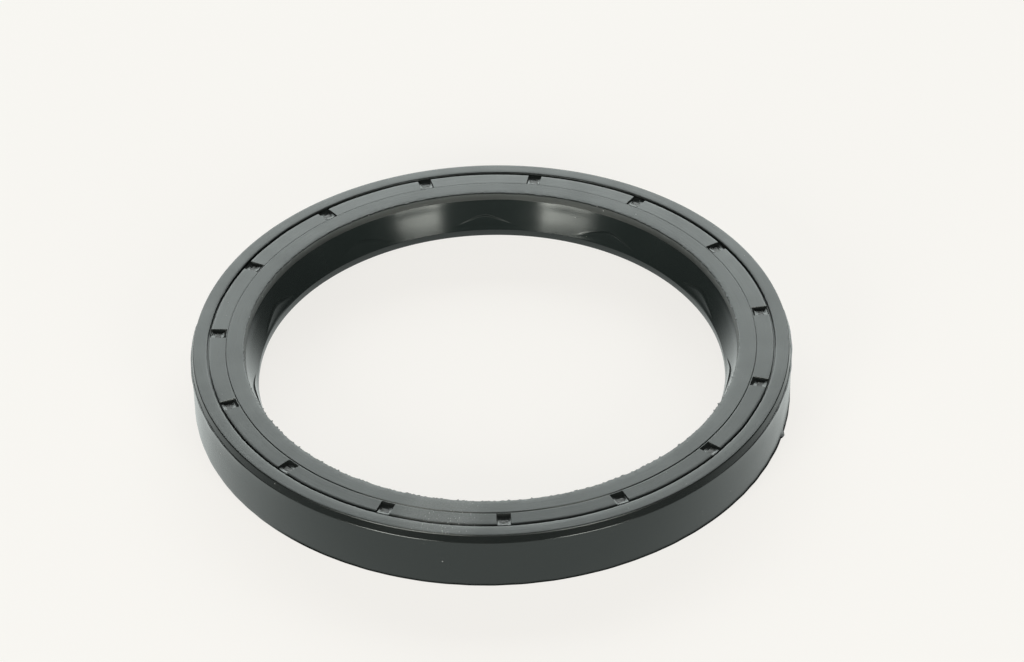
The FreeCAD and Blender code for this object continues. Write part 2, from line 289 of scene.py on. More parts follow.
PAD_COUNT = 11
PAD_TURN = 90.9
PAD_FOOT_R = 37.161
PAD_FOOT_Z = 3.68
PAD_TOP_Z = 6.30
PAD_TOP_R = 37.847
PAD_HALF_FOOT = 8.0
PAD_TIP_RADIUS = 4.0
PAD_EDGE_WIDTH = 0.13
PAD_EDGE_GAP = 0.06
PAD_ROWS_TOP_Z = 6.6

# Points round the ring in each part of the section, and the least angle in degrees of a sharp edge

FINE = 1320
MIDDLE = 660
COARSE = 220
HIDDEN = 110
SHARP_ANGLE = 40

# The lead-in's corners: radius, height and rounding; its first points keep the wall's finish

LEAD_IN = (
    (WALL_R - 0.030, WALL_TOP_Z + 0.04, 0),
    (WALL_R - 0.045, WALL_TOP_Z + 0.10, 0),
    (RIM_R + 0.02, 9.74, 0),
    (RIM_R, 9.82, 0.1),
    (RIM_R - 0.08, TOP_Z - 0.004, 0.12),
    (46.75, TOP_Z - 0.001, 0),
)
LEAD_IN_WALL_POINTS = 5

# The ridge of flash: share of its height, depth under the wall's top, and how far the wall draws in there

RIDGE_ROWS = (
    (0.25, 1.2, 0.0), (0.6, 0.6, 0.0), (0.8, 0.20, 0.003),
    (0.95, 0.10, 0.008), (1.0, 0.05, 0.013), (0.9, 0.03, 0.016),
)

# The parting crease's shoulders: distance from the crease, and height

RIM_SHOULDER = ((0.45, 9.999), (0.30, 9.985), (0.20, 9.955))
BAND_SHOULDER = ((0.15, 9.80), (0.22, 9.855), (0.34, 9.885), (CREASE_R - BAND_START_R, BAND_LOW_Z))

# The step between the pocket band and the inner band: distance from the step, and height

STEP_ROWS = (
    (0.14, BAND_Z), (0.11, BAND_Z - 0.005), (0.06, BAND_Z - 0.05), (0.03, BAND_Z - 0.01),
    (0.02, TOP_Z - 0.035), (0.0, TOP_Z - 0.01), (-0.04, TOP_Z), (-0.14, TOP_Z - 0.001),
)

# The inner band, which falls a little towards its edge: radius, and depth under the top

INNER_BAND = ((41.0, 0.012), (40.2, 0.026))

# The pockets' levels: height, and how much wider than the pocket's width on each side

POCKET_LEVELS = (
    (CASE_TOP_Z - 0.05, -0.44), (CASE_TOP_Z, -0.38), (9.45, -0.26), (9.52, -0.13), (9.64, 0.0),
    (BAND_Z - 0.12, 0.0), (BAND_Z - 0.05, 0.03), (TOP_Z + 0.03, 0.10),
)

# The finishes of the rubber, in the order of the ring's material slots

FINISHES = ("outer_wall", "air_face", "trimmed_edge", "bore", "lip_band", "oil_side", "pocket_wall")


def turns(count):
    """The angles of the points of one row."""
    return TAU * np.arange(count) / count


def waves(turn, seed, most, size):
    """A smooth uneven line round the ring, from random waves of up to the given number a turn."""
    rng = np.random.default_rng(seed)
    parts = 24
    numbers = rng.integers(most // 5 + 1, most + 1, parts)
    phases = rng.uniform(0, TAU, parts)
    line = sum(np.cos(number * turn + phase) for number, phase in zip(numbers, phases))
    return size * line / math.sqrt(parts / 2)


def tears(turn, seed, number, length, width):
    """Pointed tears of random length at random places; width is half of one tear's foot in degrees."""
    rng = np.random.default_rng(seed)
    places = rng.uniform(0, TAU, number)
    lengths = length * rng.random(number) ** 2
    line = np.zeros_like(turn)
    for place, reach in zip(places, lengths):
        off = np.abs((turn - place + math.pi) % TAU - math.pi)
        line = np.maximum(line, reach * np.clip(1 - off / math.radians(width), 0, 1))
    return line


def rounded(corners, steps=4):
    """The section's points from corners (radius, height, rounding), each rounding an arc of some steps."""
    points = []
    for index, (r, z, radius) in enumerate(corners):
        if radius == 0 or index in (0, len(corners) - 1):
            points.append((r, z))
            continue
        corner = np.array((r, z))
        before = np.array(corners[index - 1][:2]) - corner
        after = np.array(corners[index + 1][:2]) - corner
        before = before / np.linalg.norm(before)
        after = after / np.linalg.norm(after)
        half = math.acos(float(np.clip(before @ after, -1, 1))) / 2
        middle = (before + after) / np.linalg.norm(before + after)
        centre = corner + middle * radius / math.sin(half)
        start = corner + before * radius / math.tan(half) - centre
        end = corner + after * radius / math.tan(half) - centre
        sweep = math.acos(float(np.clip(start @ end / radius ** 2, -1, 1)))
        for step in range(steps + 1):
            part = step / steps
            spread = math.sin((1 - part) * sweep) * start + math.sin(part * sweep) * end
            points.append(tuple(centre + spread / math.sin(sweep)))
    return points


class Section:
    """Rows of points round the ring, with the finish of the strip that follows each row."""

    def __init__(self):
        self.rows = []
        self.finishes = []

    def add(self, finish, count, radius, height):
        """One row; radius and height are numbers, or one value for each point."""
        turn = turns(count)
        radius = np.broadcast_to(radius, turn.shape)
        height = np.broadcast_to(height, turn.shape)
        self.rows.append(np.stack((radius * np.cos(turn), radius * np.sin(turn), height), axis=1))
        self.finishes.append(FINISHES.index(finish))

    def add_plain(self, finish, count, points):
        """A row for each point of a part of the section that is even all round."""
        for radius, height in points:
            self.add(finish, count, radius, height)

    def mesh(self, name):
        """A closed mesh through all the rows and back to the first."""
        firsts = np.cumsum([0] + [len(row) for row in self.rows])
        faces = []
        finishes = []
        for index, finish in enumerate(self.finishes):
            following = (index + 1) % len(self.rows)
            strip = strip_faces(len(self.rows[index]), len(self.rows[following]))
            for face in strip:
                faces.append([firsts[index if low else following] + place for low, place in face])
            finishes += [finish] * len(strip)
        mesh = bpy.data.meshes.new(name)
        mesh.from_pydata(np.concatenate(self.rows) * MM, [], faces)
        mesh.polygons.foreach_set("material_index", finishes)
        return mesh


def strip_faces(low, high):
    """The faces between two rows, as (is it in the low row, place in the row) for each corner."""
    if low == high:
        return [
            ((True, j), (True, (j + 1) % low), (False, (j + 1) % low), (False, j))
            for j in range(low)
        ]
    faces = []
    coarse, fine = min(low, high), max(low, high)
    share = fine // coarse
    fine_low = low > high
    for j in range(coarse):
        here, after = (not fine_low, j), (not fine_low, (j + 1) % coarse)
        for m in range(share):
            apex = here if m < share // 2 else after
            edge = [(fine_low, (share * j + m) % fine), (fine_low, (share * j + m + 1) % fine)]
            faces.append((edge[0], edge[1], apex) if fine_low else (apex, edge[1], edge[0]))
        middle = (fine_low, (share * j + share // 2) % fine)
        faces.append((middle, after, here) if fine_low else (here, after, middle))
    return faces


def arc_share(turn, start, end, soft):
    """One on the arc from start to end in degrees, nought outside it, with soft ends."""
    middle = math.radians((start + end) / 2)
    half = math.radians((end - start) / 2)
    off = np.abs((turn - middle + math.pi) % TAU - math.pi)
    return np.clip((half - off) / math.radians(soft) + 0.5, 0, 1)


def add_outer_wall(section):
    """The wall that seats in the housing: its edge break, its ridge of flash and its lead-in above that."""
    section.add_plain("outer_wall", COARSE, [(FOOT_R, 0.0)])
    turn = turns(MIDDLE)
    nib = FOOT_NIB * arc_share(turn, *FOOT_NIB_ARC, 0.7)
    uneven = waves(turn, 61, 90, 0.010)
    edge_break = rounded([
        (FOOT_R, 0.0, 0),
        (WALL_R - OIL_EDGE, 0.0, 0.05),
        (WALL_R, OIL_EDGE, 0.15),
        (WALL_R, 1.2, 0),
    ])
    for r, z in edge_break[1:-1]:
        section.add("outer_wall", MIDDLE, r + uneven + nib, z)
    for z in (1.2, 3.0, 6.0):
        section.add("outer_wall", MIDDLE, WALL_R, z)
    ridge = arc_share(turn, *FLASH_ARC, 1.5) * (FLASH_RIDGE + waves(turn, 62, 70, 0.02))
    ridge = ridge * (1 - FLASH_FADE * arc_share(turn, *FLASH_FADE_ARC, 25))
    for share, below, dip in RIDGE_ROWS:
        section.add("outer_wall", MIDDLE, WALL_R - dip + share * ridge, WALL_TOP_Z - below)
    section.add("outer_wall", MIDDLE, WALL_R - 0.021, WALL_TOP_Z - 0.1 * ridge)
    lead_in = rounded(LEAD_IN)
    section.add_plain("outer_wall", MIDDLE, lead_in[:LEAD_IN_WALL_POINTS])
    section.add_plain("air_face", MIDDLE, lead_in[LEAD_IN_WALL_POINTS:])


def add_air_face(section):
    """The rim, the parting groove, the pocket band, the step, the inner band and its torn edge."""
    turn = turns(FINE)
    sway = waves(turn, 11, 40, 0.012)
    rough = waves(turn, 12, 500, 0.010)
    for r in (46.5, 46.0):
        section.add("air_face", MIDDLE, r, TOP_Z)
    for off, z in RIM_SHOULDER:
        section.add("air_face", MIDDLE, CREASE_R + off + sway[::2], z)
    flash = tears(turn, 23, 150, 0.08, 0.5) * (waves(turn, 24, 9, 1.0) > 0.3)
    section.add("air_face", FINE, CREASE_R + 0.15 + sway + rough, 9.93 + 0.4 * flash)
    section.add("air_face", FINE, CREASE_R + 0.13 + sway + rough - 0.5 * flash, 9.88 + flash)
    for off in (CREASE_HALF, -CREASE_HALF):
        section.add("air_face", FINE, CREASE_R + off + sway, CREASE_Z)
    for off, z in BAND_SHOULDER:
        section.add("air_face", FINE, CREASE_R - off + sway + (rough if off < 0.3 else 0), z)
    for part in (0.1, 0.5, 0.9):
        r = BAND_START_R + (NOTCH_R - BAND_START_R) * part
        section.add("air_face", MIDDLE, r, BAND_LOW_Z + (BAND_Z - BAND_LOW_Z) * part)
    for off, z in STEP_ROWS:
        section.add("air_face", MIDDLE, STEP_R + off + 0.3 * sway[::2], z)
    for r, below in INNER_BAND:
        section.add("air_face", MIDDLE, r, TOP_Z - below)
    edge_sway = waves(turn, 31, 260, 0.02)
    section.add("air_face", FINE, 39.55, TOP_Z - 0.040)
    section.add("air_face", FINE, 39.38 + 0.5 * edge_sway, TOP_Z - 0.055 + 0.3 * edge_sway)
    torn = (
        tears(turn, 41, 420, 0.20, 0.35)
        + tears(turn, 42, 120, 0.12, 1.2)
        + TORN_NIB * arc_share(turn, *TORN_ARC, 8) * tears(turn, 43, 260, 1.0, 0.30)
    )
    lift = 0.12 * torn
    section.add("air_face", FINE, 39.30 + 0.5 * edge_sway - 0.4 * torn, TOP_Z - 0.075 + lift)
    section.add("trimmed_edge", FINE, EDGE_R + 0.02 - 0.8 * torn, TOP_Z - 0.115 + lift)
    section.add("trimmed_edge", FINE, EDGE_R - 0.04 - torn, TOP_Z - 0.17 + lift)
    section.add("trimmed_edge", FINE, EDGE_R - 0.05 - 0.5 * torn, 9.72)


def add_trimmed_band(section):
    """The band that the trimming cut left matte, down to the crease ring."""
    turn = turns(FINE)
    uneven = waves(turn, 51, 200, 0.006)
    for part in (0.3, 0.7):
        r = EDGE_R + (TRIM_R - EDGE_R) * part
        z = EDGE_Z + (TRIM_Z - EDGE_Z) * part
        section.add("trimmed_edge", FINE, r + uneven, z)
    crease = waves(turns(MIDDLE), 52, 30, 0.02)
    section.add("trimmed_edge", MIDDLE, TRIM_R + 0.01, TRIM_Z + 0.03 + crease)
    section.add("trimmed_edge", MIDDLE, TRIM_R, TRIM_Z + crease)
    section.add("bore", MIDDLE, BORE_START_R, BORE_START_Z + crease)


def bore_radius(height):
    """The bore's radius: the membrane's cone, and the steeper band above the lip."""
    cone = LIP_BAND_R + (height - LIP_BAND_Z) * BORE_SLOPE
    band = LIP_R + (height - LIP_TOP_Z) * LIP_BAND_SLOPE
    return np.where(height > LIP_BAND_Z, cone, band)


def pad_edge(turn):
    """The height of the pads' upper outline: a round tip with a straight flank on each side."""
    pitch = TAU / PAD_COUNT
    off = np.abs((turn - math.radians(PAD_TURN) + pitch / 2) % pitch - pitch / 2)
    across = PAD_FOOT_R * np.sin(off)
    tip_z = PAD_TOP_Z - PAD_TIP_RADIUS
    to_foot = math.hypot(PAD_HALF_FOOT, PAD_FOOT_Z - tip_z)
    touch = math.atan2(PAD_FOOT_Z - tip_z, PAD_HALF_FOOT) + math.acos(PAD_TIP_RADIUS / to_foot)
    touch_across = PAD_TIP_RADIUS * math.cos(touch)
    tip = tip_z + np.sqrt(np.maximum(PAD_TIP_RADIUS ** 2 - across ** 2, 0))
    flank = PAD_FOOT_Z + (PAD_HALF_FOOT - across) / math.tan(touch)
    return np.where(across < touch_across, tip, flank)


def padded_radius(turn, height):
    """The bore's radius with the pads standing out of it."""
    bare = bore_radius(height)
    rise = (PAD_TOP_R - PAD_FOOT_R) / (PAD_TOP_Z - PAD_FOOT_Z)
    pad = PAD_FOOT_R + (height - PAD_FOOT_Z) * rise
    inside = np.clip((pad_edge(turn) - height) / (2 * PAD_EDGE_WIDTH) + 0.5, 0, 1)
    inside = inside * inside * (3 - 2 * inside)
    return bare - inside * np.maximum(bare - pad, 0)


def add_bore(section):
    """The membrane's bore with its pumping pads, whose rows follow the pads' outlines."""
    turn = turns(MIDDLE)
    for height in (8.0, 7.2, PAD_ROWS_TOP_Z):
        section.add("bore", MIDDLE, bore_radius(height), height)
    edge = np.maximum(pad_edge(turn), LIP_BAND_Z + PAD_EDGE_WIDTH + PAD_EDGE_GAP)
    above = edge + PAD_EDGE_WIDTH
    below = edge - PAD_EDGE_WIDTH
    for part in (0.8, 0.5, 0.2):
        height = above + (PAD_ROWS_TOP_Z - above) * part
        section.add("bore", MIDDLE, padded_radius(turn, height), height)
    for part in (1.0, 0.66, 0.33, 0.0, -0.33, -0.66, -1.0):
        height = edge + part * PAD_EDGE_WIDTH
        section.add("bore", MIDDLE, padded_radius(turn, height), height)
    for part in (0.8, 0.5, 0.2):
        height = LIP_BAND_Z + (below - LIP_BAND_Z) * part
        section.add("bore", MIDDLE, padded_radius(turn, height), height)


def add_lip(section):
    """The band above the lip, the sealing edge itself and the oil-side face of the lip."""
    turn = turns(MIDDLE)
    for height in (LIP_BAND_Z, 3.87, 3.80, 3.74, PAD_FOOT_Z):
        section.add("lip_band", MIDDLE, padded_radius(turn, np.full(MIDDLE, height)), height)
    section.add_plain("lip_band", MIDDLE, rounded([
        (LIP_R, LIP_TOP_Z, 0),
        (LIP_R, LIP_Z, 0.04),
        (LIP_R + LIP_FACE * OIL_FACE_SLOPE, LIP_Z - LIP_FACE, 0),
    ], 3))


def add_oil_side(section):
    """The head round the spring, its groove, the membrane's back and the film under the flange."""
    section.add_plain("oil_side", COARSE, rounded([
        (LIP_R + 2 * LIP_FACE * OIL_FACE_SLOPE, LIP_Z - 2 * LIP_FACE, 0),
        (LIP_R + (LIP_Z - NOSE_Z) * OIL_FACE_SLOPE, NOSE_Z, 0.12),
        (HEAD_R - NOSE_CHAMFER, NOSE_Z, 0.08),
        (HEAD_R, NOSE_Z + NOSE_CHAMFER, 0.12),
        (HEAD_R, HEAD_SIDE_Z[0], 0),
    ]))
    mouth = math.acos((HEAD_R - COIL_R) / GROOVE_RADIUS)
    for step in range(GROOVE_STEPS + 1):
        angle = -mouth - (TAU - 2 * mouth) * step / GROOVE_STEPS
        r = COIL_R + GROOVE_RADIUS * math.cos(angle)
        z = COIL_Z + GROOVE_RADIUS * math.sin(angle)
        section.add("oil_side", COARSE, r, z)
    section.add_plain("oil_side", COARSE, rounded([
        (HEAD_R, HEAD_SIDE_Z[1], 0),
        (HEAD_R, HEAD_TOP_Z, 0.15),
        (*NECK, 0.4),
        (MEMBRANE_BACK_R, 7.0, 0.2),
        (MEMBRANE_BACK_R, FILM_Z, 0.85),
        (FILM_END_R[0], FILM_Z, 0.1),
        (FILM_END_R[1], CASE_UNDER_Z, 0),
    ], 6))


def add_bond(section):
    """The faces that are bonded to the steel case, and the cover over the end of its leg."""
    section.add_plain("oil_side", HIDDEN, [(CASE_FLANGE_R, CASE_UNDER_Z), (CASE_FLANGE_R, CASE_TOP_Z)])
    section.add_plain("oil_side", COARSE, [(42.0, CASE_TOP_Z)])
    bend_r = CASE_LEG_OUT_R - CASE_BEND
    bend_z = CASE_TOP_Z - CASE_BEND
    for step in range(CASE_BEND_STEPS + 1):
        angle = math.pi / 2 * (1 - step / CASE_BEND_STEPS)
        r = bend_r + CASE_BEND * math.cos(angle)
        z = bend_z + CASE_BEND * math.sin(angle)
        section.add("oil_side", COARSE, r, z)
    section.add_plain("oil_side", COARSE, [
        (CASE_LEG_OUT_R, CASE_END_Z),
        (CASE_LEG_IN_R, CASE_END_Z),
        (CASE_LEG_IN_R, 0.0),
    ])


def pocket_wedge():
    """The points and faces of one pocket's wedge, narrower at its floor and flared at the rubber's face."""
    slope_in = (POCKET_FLOOR[0] - POCKET_TOP[0]) / (BAND_Z - CASE_TOP_Z)
    slope_out = (POCKET_TOP[1] - POCKET_FLOOR[1]) / (BAND_Z - CASE_TOP_Z)
    half = POCKET_WIDTH / 2
    rings = []
    for z, flare in POCKET_LEVELS:
        rise = max(z - CASE_TOP_Z, 0)
        inner = POCKET_FLOOR[0] - slope_in * rise - min(flare, 0)
        outer = POCKET_FLOOR[1] + slope_out * rise + min(flare, 0)
        wide = half + flare
        rings.append([(inner, -wide, z), (outer, -wide, z), (outer, wide, z), (inner, wide, z)])
    faces = [[3, 2, 1, 0]]
    for level in range(len(rings) - 1):
        for side in range(4):
            low = 4 * level
            after = (side + 1) % 4
            faces.append([low + side, low + after, low + 4 + after, low + 4 + side])
    faces.append([4 * len(rings) - 4 + side for side in range(4)])
    return np.array(rings).reshape(-1, 3) * MM, faces


def pocket_cutters():
    """One closed wedge for each pocket."""
    wedge, faces = pocket_wedge()
    points = []
    all_faces = []
    for number in range(POCKET_COUNT):
        turn = math.radians(POCKET_TURN + 360 / POCKET_COUNT * number)
        along, across = math.cos(turn), math.sin(turn)
        spin = np.array(((along, across, 0), (-across, along, 0), (0, 0, 1)))
        all_faces += [[len(wedge) * number + point for point in face] for face in faces]
        points.append(wedge @ spin)
    mesh = bpy.data.meshes.new("pocket_cutters")
    mesh.from_pydata(np.concatenate(points), [], all_faces)
    mesh.polygons.foreach_set("material_index", [FINISHES.index("pocket_wall")] * len(all_faces))
    return mesh


def linked(name, mesh):
    """A new object of the mesh in the scene."""
    piece = bpy.data.objects.new(name, mesh)
    bpy.context.scene.collection.objects.link(piece)
    return piece


def apply_modifiers(piece):
    """The piece takes the mesh that its modifiers make."""
    depsgraph = bpy.context.evaluated_depsgraph_get()
    mesh = bpy.data.meshes.new_from_object(piece.evaluated_get(depsgraph))
    piece.modifiers.clear()
    piece.data = mesh


def smooth(piece, sharp_angle):
    """Smooth shading with edges above the angle kept sharp and flat stretches kept flat."""
    mesh = piece.data
    mesh.polygons.foreach_set("use_smooth", [True] * len(mesh.polygons))
    mesh.set_sharp_from_angle(angle=math.radians(sharp_angle))
    flat = piece.modifiers.new("flat_faces", "WEIGHTED_NORMAL")
    flat.keep_sharp = True
    apply_modifiers(piece)


def make_rubber_ring(materials):
    """The whole rubber moulding: wall, air side, bore with pads, lip and membrane, with its pockets."""
    section = Section()
    add_outer_wall(section)
    add_air_face(section)
    add_trimmed_band(section)
    add_bore(section)
    add_lip(section)
    add_oil_side(section)
    add_bond(section)
    ring = linked("rubber_moulding", section.mesh("rubber_moulding"))
    cutter = linked("pocket_cutters", pocket_cutters())
    for mesh in (ring.data, cutter.data):
        for material in materials:
            mesh.materials.append(material)
    cut = ring.modifiers.new("pockets", "BOOLEAN")
    cut.operation = "DIFFERENCE"
    cut.solver = "EXACT"
    cut.object = cutter
    apply_modifiers(ring)
    bpy.data.objects.remove(cutter)
    smooth(ring, SHARP_ANGLE)
    return ring


# The garter spring: a closed coil of round wire with its nib screwed into its other end

WIRE = 0.35
WIRE_SIDES = 6
STEPS_A_TURN = 12
NIB_LENGTH = 5.0
NIB_NECK = 0.07


def make_garter_spring(material):
    """One wire wound turn against turn all round the lip's groove."""
    wound = round(TAU * COIL_R / WIRE)
    steps = wound * STEPS_A_TURN
    part = np.arange(steps) / steps
    round_ring = TAU * part
    round_coil = TAU * wound * part
    from_nib = np.minimum(part, 1 - part) * TAU * COIL_R
    neck = NIB_NECK * np.clip(1 - from_nib / NIB_LENGTH, 0, 1)
    coil = COIL_RADIUS - WIRE / 2 - neck
    points = []
    for side in range(WIRE_SIDES):
        angle = TAU * side / WIRE_SIDES
        reach = coil + WIRE / 2 * math.cos(angle)
        turn = round_ring + WIRE / 2 * math.sin(angle) / COIL_R
        radius = COIL_R + reach * np.cos(round_coil)
        height = COIL_Z + reach * np.sin(round_coil)
        points.append(np.stack((radius * np.cos(turn), radius * np.sin(turn), height), axis=1))
    points = np.stack(points, axis=1).reshape(-1, 3)
    faces = []
    for step in range(steps):
        here = step * WIRE_SIDES
        after = (step + 1) % steps * WIRE_SIDES
        for side in range(WIRE_SIDES):
            beside = (side + 1) % WIRE_SIDES
            faces.append((here + side, here + beside, after + beside, after + side))
    mesh = bpy.data.meshes.new("garter_coil")
    mesh.from_pydata(points * MM, [], faces)
    mesh.polygons.foreach_set("use_smooth", [True] * len(faces))
    mesh.materials.append(material)
    return linked("garter_coil", mesh)


# Effects that several finishes share, as node groups: they take the place on the piece in millimetres

def new_group(name, inputs, outputs):
    """An empty shader group; inputs are (name, kind, value), outputs are (name, kind)."""
    group = bpy.data.node_groups.new(name, "ShaderNodeTree")
    kinds = {"number": "NodeSocketFloat", "vector": "NodeSocketVector", "colour": "NodeSocketColor"}
    for socket_name, kind, value in inputs:
        socket = group.interface.new_socket(name=socket_name, in_out="INPUT", socket_type=kinds[kind])
        if value is not None:
            socket.default_value = value
    for socket_name, kind in outputs:
        group.interface.new_socket(name=socket_name, in_out="OUTPUT", socket_type=kinds[kind])
    nodes = group.nodes
    return group, nodes, group.links, nodes.new("NodeGroupInput"), nodes.new("NodeGroupOutput")


def math_node(nodes, links, operation, *values, clamp=False):
    """A math node; each value is a number or a socket."""
    node = nodes.new("ShaderNodeMath")
    node.operation = operation
    node.use_clamp = clamp
    for index, value in enumerate(values):
        if isinstance(value, (int, float)):
            node.inputs[index].default_value = value
        else:
            links.new(value, node.inputs[index])
    return node.outputs[0]


def noise(nodes, links, place, scale, detail, rough=0.5):
    """A 3-D noise between 0 and 1; scale is a number or a socket, in waves per millimetre."""
    node = nodes.new("ShaderNodeTexNoise")
    node.inputs["Detail"].default_value = detail
    node.inputs["Roughness"].default_value = rough
    if isinstance(scale, (int, float)):
        node.inputs["Scale"].default_value = scale
    else:
        links.new(scale, node.inputs["Scale"])
    links.new(place, node.inputs["Vector"])
    return node.outputs["Fac"]


def ramp(nodes, links, value, low, high):
    """The value brought smoothly from low..high to 0..1; low and high are numbers."""
    node = nodes.new("ShaderNodeMapRange")
    node.interpolation_type = "SMOOTHSTEP"
    node.clamp = True
    node.inputs["From Min"].default_value = low
    node.inputs["From Max"].default_value = high
    links.new(value, node.inputs["Value"])
    return node.outputs["Result"]


def grain_group():
    """Fine skin of the mould, and broad uneven patches of gloss."""
    group, nodes, links, inlet, outlet = new_group(
        "mould_grain",
        [("Place", "vector", None), ("Grain", "number", 4.0), ("Patch", "number", 0.15)],
        [("Height", "number"), ("Patches", "number")],
    )
    place = inlet.outputs["Place"]
    fine = noise(nodes, links, place, inlet.outputs["Grain"], 4.0, 0.6)
    links.new(fine, outlet.inputs["Height"])
    patches = noise(nodes, links, place, inlet.outputs["Patch"], 3.0, 0.55)
    links.new(patches, outlet.inputs["Patches"])
    return group


SPECK_EDGE = 0.03


def speck_group():
    """Small pale specks of dust and lint, in loose clusters."""
    group, nodes, links, inlet, outlet = new_group(
        "dust_specks",
        [
            ("Place", "vector", None),
            ("Spacing", "number", 0.9),
            ("Size", "number", 0.11),
            ("Share", "number", 0.3),
        ],
        [("Mask", "number")],
    )
    place = inlet.outputs["Place"]
    cells = nodes.new("ShaderNodeTexVoronoi")
    links.new(place, cells.inputs["Vector"])
    links.new(math_node(nodes, links, "DIVIDE", 1.0, inlet.outputs["Spacing"]), cells.inputs["Scale"])
    pick = nodes.new("ShaderNodeSeparateColor")
    links.new(cells.outputs["Color"], pick.inputs["Color"])
    reach = math_node(nodes, links, "MULTIPLY", inlet.outputs["Size"], pick.outputs["Green"])
    off = math_node(nodes, links, "MULTIPLY", cells.outputs["Distance"], inlet.outputs["Spacing"])
    inside = ramp(nodes, links, math_node(nodes, links, "SUBTRACT", reach, off), 0.0, SPECK_EDGE)
    cluster = noise(nodes, links, place, 0.09, 2.0)
    clustered = ramp(nodes, links, cluster, 0.42, 0.62)
    share = math_node(nodes, links, "MULTIPLY", inlet.outputs["Share"], clustered)
    picked = math_node(nodes, links, "LESS_THAN", pick.outputs["Red"], share)
    links.new(math_node(nodes, links, "MULTIPLY", inside, picked), outlet.inputs["Mask"])
    return group


def turning_group():
    """Faint lines round the ring, which the turned mould left, and short rub marks across it."""
    group, nodes, links, inlet, outlet = new_group(
        "turning_lines",
        [("Place", "vector", None), ("Lines", "number", 6.0), ("Rubs", "number", 2.2)],
        [("Height", "number"), ("Marks", "number")],
    )
    split = nodes.new("ShaderNodeSeparateXYZ")
    links.new(inlet.outputs["Place"], split.inputs[0])
    x, y, z = split.outputs
    turn = math_node(nodes, links, "ARCTAN2", y, x)
    x_squared = math_node(nodes, links, "MULTIPLY", x, x)
    y_squared = math_node(nodes, links, "MULTIPLY", y, y)
    radius = math_node(nodes, links, "SQRT", math_node(nodes, links, "ADD", x_squared, y_squared))
    along = math_node(nodes, links, "MULTIPLY", turn, WALL_R)
    for count, rate_along, rate_across, outlet_name, low, high in (
        ("Lines", 0.02, 1.0, "Height", 0.3, 0.7),
        ("Rubs", 1.0, 0.22, "Marks", 0.66, 0.80),
    ):
        spread = nodes.new("ShaderNodeCombineXYZ")
        links.new(math_node(nodes, links, "MULTIPLY", along, rate_along), spread.inputs[0])
        links.new(math_node(nodes, links, "MULTIPLY", radius, rate_across), spread.inputs[1])
        links.new(math_node(nodes, links, "MULTIPLY", z, rate_across), spread.inputs[2])
        streaks = noise(nodes, links, spread.outputs[0], inlet.outputs[count], 2.0, 0.6)
        links.new(ramp(nodes, links, streaks, low, high), outlet.inputs[outlet_name])
    return group


GROUPS = {"grain": grain_group(), "specks": speck_group(), "turning": turning_group()}


class Finish:
    """A material being made: its Principled shader and the piece's own place in millimetres."""

    def __init__(self, name, colour, roughness, metallic=0.0):
        self.material = bpy.data.materials.new(name)
        self.material.use_nodes = True
        self.nodes = self.material.node_tree.nodes
        self.links = self.material.node_tree.links
        self.shader = self.nodes["Principled BSDF"]
        self.shader.inputs["Base Color"].default_value = (*colour, 1.0)
        self.shader.inputs["Roughness"].default_value = roughness
        self.shader.inputs["Metallic"].default_value = metallic
        own = self.nodes.new("ShaderNodeTexCoord")
        scaled = self.nodes.new("ShaderNodeVectorMath")
        scaled.operation = "SCALE"
        scaled.inputs["Scale"].default_value = 1 / MM
        self.links.new(own.outputs["Object"], scaled.inputs[0])
        self.place = scaled.outputs[0]

    def effect(self, kind, **values):
        """One of the shared groups, placed with its own values; returns its outputs."""
        node = self.nodes.new("ShaderNodeGroup")
        node.node_tree = GROUPS[kind]
        self.links.new(self.place, node.inputs["Place"])
        for name, value in values.items():
            node.inputs[name].default_value = value
        return node.outputs

    def math(self, operation, *values, clamp=False):
        """A math node in this material; each value is a number or a socket."""
        return math_node(self.nodes, self.links, operation, *values, clamp=clamp)

    def mix(self, share, low, high):
        """A colour between low and high, which are colours or sockets."""
        node = self.nodes.new("ShaderNodeMix")
        node.data_type = "RGBA"
        self.links.new(share, node.inputs["Factor"])
        for socket, value in ((node.inputs["A"], low), (node.inputs["B"], high)):
            if isinstance(value, tuple):
                socket.default_value = (*value, 1.0)
            else:
                self.links.new(value, socket)
        return node.outputs["Result"]

    def bump(self, heights):
        """Bumps on top of each other from (height, depth in millimetres) pairs."""
        normal = None
        for height, depth in heights:
            node = self.nodes.new("ShaderNodeBump")
            node.inputs["Distance"].default_value = depth * MM
            self.links.new(height, node.inputs["Height"])
            if normal is not None:
                self.links.new(normal, node.inputs["Normal"])
            normal = node.outputs["Normal"]
        self.links.new(normal, self.shader.inputs["Normal"])

    def connect(self, name, socket):
        """The socket feeds the shader's input of that name."""
        self.links.new(socket, self.shader.inputs[name])


RUBBER = (0.0088, 0.0108, 0.0105)
# The bore's colour is the face's rubber painted lighter: painted light that brightens the bore and its pads
BORE_RUBBER_PAINTED_LIGHT = (0.013, 0.0175, 0.017)
TRIMMED_RUBBER = (0.055, 0.060, 0.057)
# Painted shade on the trimmed band: low and high heights, and the share of its colour left at the low height,
# darker where it turns down into the bore
TRIMMED_PAINTED_SHADE = (8.7, 10.0, 0.45)
RUBBER_TINT = (0.95, 1.0, 0.98)
DUST = (0.38, 0.39, 0.38)
DUST_ROUGHNESS = 0.4
DUST_DEPTH = 0.03
DUSTY_PLACE = (-8.5, -42.3, TOP_Z)
DUSTY_REACH = (8.5, 3.0)
DUSTY_SPECKS = {"Spacing": 0.32, "Size": 0.10, "Share": 2.5}
DUSTY_HAZE = 0.30
RUB_ROUGHNESS = 0.2
RUB_LIGHTER = 3


